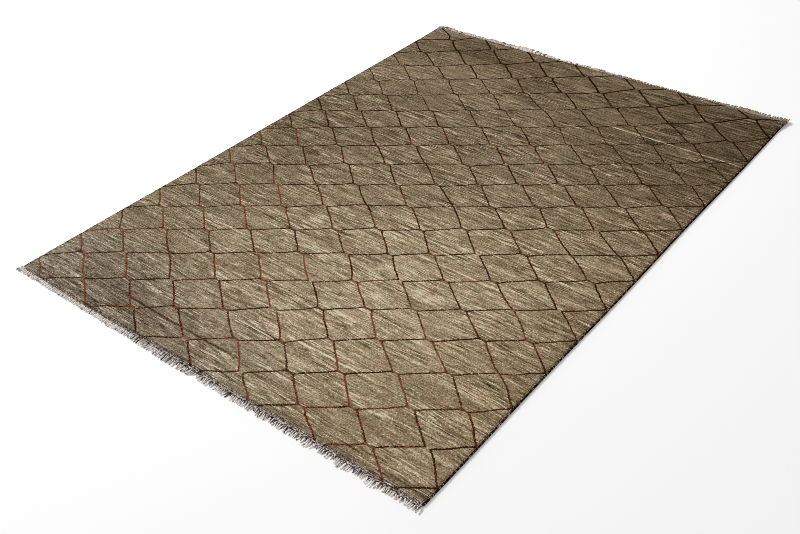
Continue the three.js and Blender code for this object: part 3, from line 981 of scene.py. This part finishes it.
def pile_edge(rim, lines_at):
    """Tufts that lean out along the edge of the pile."""
    rng = np.random.default_rng(81)
    closed = np.concatenate([rim, rim[:1]])
    heap = Heap()
    for n, (away, height, lean, long) in enumerate(TUFT_ROWS):
        reach = away + RIM_INSET + flop(closed, closed[:, 2:4])
        edge = closed[:, :2] + closed[:, 2:4] * reach[:, None]
        run = run_along(edge)
        at = np.arange(0, run[-1], TUFT_PITCH)
        many = len(at)
        at = at + rng.uniform(-1, 1, many) * MM
        row, base = sample(closed, run, at), sample(edge, run, at)
        out = unit(row[:, 2:4])
        along = np.stack([-out[:, 1], out[:, 0]], 1)
        sway = rng.normal(0, 0.35, many)[:, None]
        outward = lean * rng.uniform(0.6, 1.4, many)[:, None]
        way = unit(np.concatenate([out * outward + along * sway, np.ones((many, 1))], 1))
        size = long * rng.uniform(0.65, 1.15, many)[:, None]
        low = np.column_stack([base, height + corner_lift(row[:, 0], row[:, 1])])
        path = np.stack([low - 0.5 * MM * way, low + 0.5 * size * way, low + size * way], 1)
        radii = TUFT_RADII * rng.uniform(0.8, 1.15, many)[:, None]
        tone = hills(GROUND_AREAS_AND_PAINTED_LIGHT, row[:, 0], row[:, 1]) + rng.normal(0, 0.35, many)
        # Some tufts at the near foot are darker: partly dark yarn, partly painted shade in the gaps there
        foot = (base[:, 1] < -1.165) * ease(base[:, 0], -0.75, -0.2)
        tone -= 1.1 * foot * (rng.random(many) < 0.45)
        place = np.column_stack([row[:, 4:6] + out * away, np.full(many, n * 0.01)])
        line = lines_at(base)
        # Each tuft is painted darker at its foot and lighter at its tip: painted shade and light
        heap.add(
            path,
            radii,
            4,
            (0, n / 3, 1, (n + 0.97) / 3),
            tone=tone[:, None] + (-0.55, 0.0, 0.15),
            weft=place[:, None],
            line_far=line[:, :1],
            line_rust=line[:, 1:2],
            line_mark=line[:, 2:],
        )
    return heap.piece("pile_edge")


# Looks of the wool and cotton


def srgb(red, green, blue):
    """A colour given as it shows on a screen, 0 to 255."""
    shown = (red / 255, green / 255, blue / 255)
    return (*(c / 12.92 if c <= 0.04045 else ((c + 0.055) / 1.055) ** 2.4 for c in shown), 1.0)


class Nodes:
    """Builds one material. Inputs are numbers, colours or other nodes' outputs."""

    def __init__(self, name, roughness, specular):
        self.material = bpy.data.materials.new(name)
        self.material.use_nodes = True
        self.tree = self.material.node_tree
        self.shader = self.tree.nodes["Principled BSDF"]
        self.shader.inputs["Roughness"].default_value = roughness
        self.shader.inputs["Specular IOR Level"].default_value = specular

    def put(self, socket, value):
        if isinstance(value, bpy.types.NodeSocket):
            self.tree.links.new(value, socket)
        else:
            socket.default_value = value

    def add(self, kind, inputs, output=0, **settings):
        node = self.tree.nodes.new(kind)
        for key, value in settings.items():
            setattr(node, key, value)
        for key, value in inputs.items():
            self.put(node.inputs[key], value)
        return node.outputs[output]

    def math(self, operation, a, b=0.0):
        return self.add("ShaderNodeMath", {0: a, 1: b}, operation=operation)

    def total(self, first, *terms):
        for term in terms:
            first = self.math("ADD", first, term)
        return first

    def product(self, first, *terms):
        for term in terms:
            first = self.math("MULTIPLY", first, term)
        return first

    def part(self, source, share):
        """A source that runs from 0 to 1, as up to half of share either way."""
        return self.product(self.math("SUBTRACT", source, 0.5), share)

    def value(self, name):
        return self.add("ShaderNodeAttribute", {}, "Fac", attribute_name=name)

    def vector(self, name):
        return self.add("ShaderNodeAttribute", {}, "Vector", attribute_name=name)

    def split(self, vector):
        return list(self.add("ShaderNodeSeparateXYZ", {0: vector}).node.outputs)

    def stretched(self, vector, scale, shift=(0, 0, 0)):
        inputs = {"Vector": vector, "Scale": scale, "Location": shift}
        return self.add("ShaderNodeMapping", inputs)

    def noise(self, vector, detail, roughness=0.5):
        inputs = {"Vector": vector, "Scale": 1.0, "Detail": detail, "Roughness": roughness}
        return self.add("ShaderNodeTexNoise", inputs)

    def fit(self, value, low, high, out_low=0.0, out_high=1.0, kind="LINEAR"):
        inputs = {0: value, 1: low, 2: high, 3: out_low, 4: out_high}
        return self.add("ShaderNodeMapRange", inputs, interpolation_type=kind)

    def ease(self, value, low, high, out_low=0.0, out_high=1.0):
        return self.fit(value, low, high, out_low, out_high, "SMOOTHSTEP")

    def mix(self, share, a, b, blend="MIX"):
        inputs = {0: share, 6: a, 7: b}
        return self.add("ShaderNodeMix", inputs, 2, data_type="RGBA", blend_type=blend)

    def tint(self, share, colour, by):
        """A colour that goes over to the one multiplied by a tint, as far as share says."""
        return self.mix(share, colour, self.mix(1.0, colour, by, "MULTIPLY"))

    def ramp(self, value, stops):
        node = self.tree.nodes.new("ShaderNodeValToRGB")
        elements = node.color_ramp.elements
        elements[0].position, elements[0].color = stops[0]
        elements[1].position, elements[1].color = stops[-1]
        for position, colour in stops[1:-1]:
            elements.new(position).color = colour
        self.put(node.inputs[0], value)
        return node.outputs[0]

    def finish(self, colour, height=None, distance=MM, strength=1.0):
        self.put(self.shader.inputs["Base Color"], colour)
        if height is not None:
            inputs = {"Height": height, "Distance": distance, "Strength": strength}
            self.put(self.shader.inputs["Normal"], self.add("ShaderNodeBump", inputs))
        return self.material


DARK_WOOL = srgb(47, 23, 4)
DARKEST_WOOL_AND_GROOVE_SHADE = srgb(34, 16, 3)
RUST_WOOL = srgb(119, 68, 45)
GREEN_TINT = (0.93, 1.0, 0.91, 1.0)
RED_TINT = (1.06, 0.985, 1.03, 1.0)
COOL_TINT = (0.975, 1.0, 1.05, 1.0)
WARM_TINT = (1.04, 0.99, 0.93, 1.0)
FRAY_TINT = (1.36, 1.49, 2.02, 1.0)
FOOT_TINT_AND_PAINTED_LIGHT = (1.06, 1.12, 1.34, 1.0)
NEAR_BRINK_PAINTED_LIGHT = (2.10, 2.15, 2.25, 1.0)
FAR_BRINK_PAINTED_LIGHT = (1.55, 1.62, 1.85, 1.0)
CHILL_TINT = (1.00, 1.04, 1.17, 1.0)
KNOT_WIDTH = 3.1 * MM
KNOT_LENGTH = 3.6 * MM
WEFT_FADE = 60 * MM  # a lone weft fades in and out over this, to either side

GROUND_STOPS = [
    (0.00, srgb(50, 41, 29)),
    (0.25, srgb(88, 75, 56)),
    (0.45, srgb(118, 103, 81)),
    (0.62, srgb(143, 128, 105)),
    (0.80, srgb(173, 158, 133)),
    (1.00, srgb(208, 197, 174)),
]

# Wefts that stand out on the ground. Columns: where along the rug, from and to across it, how
# wide, and how much lighter.
LONE_WEFTS = [
    (0.772, 0.28, 0.84, 5 * MM, 0.42),
    (-1.075, -0.42, 0.02, 6 * MM, -0.40),
    (-0.905, 0.10, 0.42, 5 * MM, 0.30),
    (0.420, -0.62, -0.30, 5 * MM, 0.28),
    (-0.350, 0.18, 0.55, 5 * MM, 0.30),
]


def pile_material():
    """Each knot has its own shade, in streaks and broad areas, some of them painted light and shade,
    under the lattice's lines.
    """
    wool = Nodes("pile_wool", roughness=1.0, specular=0.0)
    x, y, _ = wool.split(wool.vector("weft"))
    row = wool.math("FLOOR", wool.math("DIVIDE", y, KNOT_LENGTH))
    start = wool.add("ShaderNodeTexWhiteNoise", {"W": row}, noise_dimensions="1D")
    column = wool.math("FLOOR", wool.total(wool.math("DIVIDE", x, KNOT_WIDTH), start))
    knots = wool.add("ShaderNodeCombineXYZ", {0: column, 1: row})

    def per_knot(scale, shift, detail=1.0, roughness=0.5):
        """Noise that changes from knot to knot, not within one."""
        return wool.noise(wool.stretched(knots, scale, shift), detail, roughness)

    def random(number):
        inputs = {"Vector": knots, "W": number}
        return wool.add("ShaderNodeTexWhiteNoise", inputs, noise_dimensions="4D")

    thin = per_knot((0.055, 0.93, 1), (3.3, 0.2, 0))
    thick = per_knot((0.021, 0.37, 1), (9.1, 5.7, 2), 2, 0.55)
    broad = per_knot((0.008, 0.085, 1), (1.7, 2.9, 4), 2)
    strength = wool.product(
        wool.fit(per_knot((0.013, 0.05, 1), (7.4, 2.2, 6)), 0.3, 0.7, 0.4, 1.6),
        wool.fit(y, 0.4, 1.1, 1.0, 0.72),
        wool.fit(y, -0.8, 0.0, 0.92, 1.0),
        wool.fit(x, -0.9, -0.1, 0.80, 1.0),
    )
    knot = random(1.0)
    grain = wool.product(
        wool.part(knot, 0.36),
        wool.fit(x, -0.9, -0.2, 1.2, 1.0),
        wool.fit(y, 0.1, 1.1, 1.0, 0.72),
    )
    spark = wool.fit(random(2.0), 0.93, 1.0, 0.0, 0.30)
    streaks = wool.total(wool.part(thin, 1.15), wool.part(thick, 1.0), spark)
    # The broad areas added here are partly painted light and shade
    level = wool.total(
        wool.product(streaks, strength),
        grain,
        wool.part(broad, 0.5),
        0.475,
        wool.product(wool.value("tone"), 0.55),
    )
    for along, low, high, wide, lighter in LONE_WEFTS:
        off = wool.math("ABSOLUTE", wool.math("SUBTRACT", y, along))
        inside = wool.product(
            wool.ease(x, low - WEFT_FADE, low + WEFT_FADE),
            wool.ease(x, high + WEFT_FADE, high - WEFT_FADE),
        )
        level = wool.total(level, wool.product(wool.ease(off, wide, 0.3 * wide), inside, lighter))
    ground = wool.ramp(level, GROUND_STOPS)
    hue = wool.fit(per_knot((0.03, 0.08, 1), (4, 4, 8), 3, 0.7), 0.3, 0.7)
    hue = wool.total(hue, wool.part(random(3.0), 0.9))
    ground = wool.mix(1.0, ground, wool.mix(hue, GREEN_TINT, RED_TINT), "MULTIPLY")
    warmth = wool.total(wool.product(x, 0.5), wool.product(y, -0.1), wool.product(x, y, -0.35))
    warmth = wool.fit(warmth, -0.7, 0.7)
    ground = wool.mix(1.0, ground, wool.mix(warmth, COOL_TINT, WARM_TINT), "MULTIPLY")

    # Fibres of the fringes lie in the last of the pile, and the near end is a little cooler. The pile's
    # near foot, near side and far edge get painted light as well
    across, end, up = wool.split(wool.add("ShaderNodeTexCoord", {}, "Object"))
    aside = wool.math("ABSOLUTE", wool.total(across, 0.05))
    fray = wool.product(
        wool.ease(wool.total(end, wool.ease(aside, 0.45, 0.78, 0.0, 0.045)), 1.138, 1.175),
        wool.fit(random(6.0), 0.0, 1.0, 0.3, 1.0),
        wool.total(
            wool.fit(across, -0.45, -0.80, 0.12, 0.78),
            wool.fit(across, 0.74, 0.83, 0.0, 0.70),
        ),
    )
    # The pile's near foot gets a cooler tint and painted light that lifts the shade where the edge turns
    # down
    foot = wool.product(
        wool.ease(end, -1.152, -1.172),
        wool.fit(random(7.0), 0.0, 0.8, 0.2, 1.0),
        wool.fit(across, -0.5, 0.2, 0.4, 1.0),
    )
    # Painted light on the lower part of the pile's near side, which the lamp barely reaches
    near_brink_painted_light = wool.product(
        wool.ease(end, -1.170, -1.176),
        wool.fit(up, 12.5 * MM, 10 * MM),
        wool.fit(across, -0.5, 0.0, 0.5, 1.0),
    )
    # Painted light along the pile's far edge
    far_brink_painted_light = wool.product(
        wool.ease(end, 1.170, 1.178),
        wool.fit(across, -0.35, 0.0, 0.35, 1.0),
        wool.fit(across, 0.3, 0.6, 1.0, 0.6),
    )
    chill = wool.product(wool.fit(y, -0.80, -1.05), wool.fit(x, 0.4, -0.5, 0.25, 1.0))
    for share, by in (
        (fray, FRAY_TINT),
        (foot, FOOT_TINT_AND_PAINTED_LIGHT),
        (near_brink_painted_light, NEAR_BRINK_PAINTED_LIGHT),
        (far_brink_painted_light, FAR_BRINK_PAINTED_LIGHT),
        (chill, CHILL_TINT),
    ):
        ground = wool.tint(share, ground, by)

    # How far each knot is from a line's middle, and which wool the line is there. Towards the far
    # end the lines are wider and darker, partly painted shade in their grooves.
    far = wool.total(
        wool.value("line_far"),
        wool.part(random(4.0), 2.6 * MM),
        wool.fit(y, -1.0, -0.65, 0.2 * MM, 0.4 * MM),
        wool.fit(y, 0.72, 1.02, 0.0, -1.9 * MM),
        wool.fit(y, 0.30, 0.60, 0.0, 0.9 * MM),
        wool.fit(y, -0.3, 0.1, 0.0, -0.2 * MM),
    )
    line = wool.ease(far, LINE_HALF_WIDTH + 0.4 * MM, LINE_HALF_WIDTH - 0.4 * MM)
    line = wool.product(line, wool.value("line_mark"))
    fleck = per_knot((0.34, 0.38, 1), (5, 5, 10))
    rust = wool.total(wool.value("line_rust"), wool.part(fleck, 1.4), wool.part(random(5.0), 0.75))
    dark = wool.mix(wool.fit(y, 0.0, 0.9), DARK_WOOL, DARKEST_WOOL_AND_GROOVE_SHADE)
    colour = wool.mix(line, ground, wool.mix(wool.ease(rust, 0.38, 0.66), dark, RUST_WOOL))
    height = wool.total(wool.product(knot, 0.5), wool.product(thin, 0.8), wool.product(thick, 0.5))
    return wool.finish(colour, height, distance=2.2 * MM, strength=0.8)


def underside_material():
    """The flat back of the same knots, in finer streaks."""
    back = Nodes("knotted_back", roughness=0.95, specular=0.1)
    weft = back.vector("weft")
    streak = back.noise(back.stretched(weft, (6, 120, 1)), 3, 0.6)
    knot = back.noise(back.stretched(weft, (300, 350, 1)), 1)
    level = back.total(back.product(streak, 0.9), back.product(knot, 0.3))
    return back.finish(back.ramp(level, GROUND_STOPS), knot, 1.2 * MM)


OVERCAST_STOPS = [
    (0.00, srgb(22, 13, 8)),
    (0.30, srgb(48, 31, 20)),
    (0.60, srgb(112, 92, 70)),
    (1.00, srgb(205, 190, 165)),
]

STRAND_STOPS = [
    (0.00, srgb(34, 28, 27)),
    (0.20, srgb(70, 60, 58)),
    (0.45, srgb(144, 131, 129)),
    (0.70, srgb(212, 200, 196)),
    (0.90, srgb(250, 243, 233)),
    (1.00, srgb(255, 251, 243)),
]

TAUPE_STOPS = [
    (0.00, srgb(40, 31, 24)),
    (0.30, srgb(84, 72, 58)),
    (0.60, srgb(128, 114, 98)),
    (1.00, srgb(188, 174, 156)),
]


def yarn_material(name, stops, scale, share, warm_stops=None):
    """Wool or cotton yarn, light or dark by each thread's shade, with its fibres."""
    yarn = Nodes(name, roughness=0.95, specular=0.0)
    at = yarn.add("ShaderNodeTexCoord", {}, "Object")
    fibre = yarn.noise(yarn.stretched(at, scale), 3, 0.65)
    mottle = yarn.noise(yarn.stretched(at, (60, 60, 60)), 2)
    level = yarn.total(
        yarn.value("shade"),
        yarn.fit(fibre, 0.25, 0.75, -share, share),
        yarn.fit(mottle, 0.3, 0.7, -0.12, 0.12),
    )
    colour = yarn.ramp(level, stops)
    if warm_stops:
        colour = yarn.mix(yarn.value("warm"), colour, yarn.ramp(level, warm_stops))
    return yarn.finish(colour, fibre, 0.6 * MM, 0.7)


# The camera, light and floor

CAMERA_PLACE = Vector((1.8578, -2.3792, 1.9353))
CAMERA_AIM = Vector((0.1885, -0.4343, 0.0))
CAMERA_ROLL = math.radians(-3.296)
CAMERA_LENS = 43.605
CAMERA_SENSOR = 36
PIXEL_FILTER = 0.75
SKY_STRENGTH = 0.62
FLOOR_HALF = 40.0
LAMP_PLACE = Vector((-5.0, 0.4, 6.0))
LAMP_SIZE = 2.4
LAMP_POWER = 420
CORNERS = [(-1, -1), (1, -1), (1, 1), (-1, 1)]


def aimed(name, data, place, aim, roll=0.0):
    """A camera or lamp that looks from its place towards its aim."""
    made = bpy.data.objects.new(name, data)
    bpy.context.scene.collection.objects.link(made)
    made.location = place
    made.rotation_mode = "QUATERNION"
    made.rotation_quaternion = (aim - place).to_track_quat("-Z", "Y") @ Quaternion((0, 0, 1), roll)
    return made


def studio():
    """A white sky, a pale floor and one soft lamp."""
    scene = bpy.context.scene
    scene.view_settings.view_transform = "Standard"
    scene.view_settings.look = "None"
    scene.cycles.filter_width = PIXEL_FILTER
    scene.cycles.denoising_prefilter = "NONE"  # the others smear the fringes' threads
    lens = bpy.data.cameras.new("camera")
    lens.lens, lens.sensor_width = CAMERA_LENS, CAMERA_SENSOR
    lens.clip_start, lens.clip_end = 0.05, 200
    scene.camera = aimed("camera", lens, CAMERA_PLACE, CAMERA_AIM, CAMERA_ROLL)

    world = bpy.data.worlds.new("studio")
    world.use_nodes = True
    sky = world.node_tree.nodes["Background"].inputs
    sky["Color"].default_value = (1.0, 1.0, 1.0, 1.0)
    sky["Strength"].default_value = SKY_STRENGTH
    scene.world = world

    corners = [(across * FLOOR_HALF, along * FLOOR_HALF, 0) for across, along in CORNERS]
    floor = new_piece("floor", corners, [np.array([[0, 1, 2, 3]])])
    pale = Nodes("pale_floor", roughness=0.95, specular=0.1)
    floor.data.materials.append(pale.finish((0.92, 0.92, 0.92, 1.0)))

    light = bpy.data.lights.new("key", "AREA")
    light.shape, light.size, light.energy = "DISK", LAMP_SIZE, LAMP_POWER
    lamp = aimed("key", light, LAMP_PLACE, Vector((0, 0, 0)))


pile, rim, lines_at = pile_field()
wool = pile_material()
pile.data.materials.append(wool)
pile.data.materials.append(underside_material())
tufts = pile_edge(rim, lines_at)
tufts.data.materials.append(wool)

overcast = yarn_material("overcast_wool", OVERCAST_STOPS, (500, 900, 500), 0.14)
cotton = yarn_material("fringe_cotton", STRAND_STOPS, (1300, 260, 1300), 0.10, TAUPE_STOPS)
left, right = selvedge(-1, "selvedge_left_wrap", 91), selvedge(1, "selvedge_right_wrap", 92)
near, far = fringe_near(), fringe_far()
for piece, material in ((left, overcast), (right, overcast), (near, cotton), (far, cotton)):
    piece.data.materials.append(material)

for piece, node, slot in (
    (pile, "knotted_field", "pile"),
    (tufts, None, "pile"),
    (left, "selvedge_left", "selvedge"),
    (right, "selvedge_right", "selvedge"),
    (near, "fringe_near", "fringe"),
    (far, "fringe_far", "fringe"),
):
    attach(piece, "root")
    if node:
        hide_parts(node)

studio()
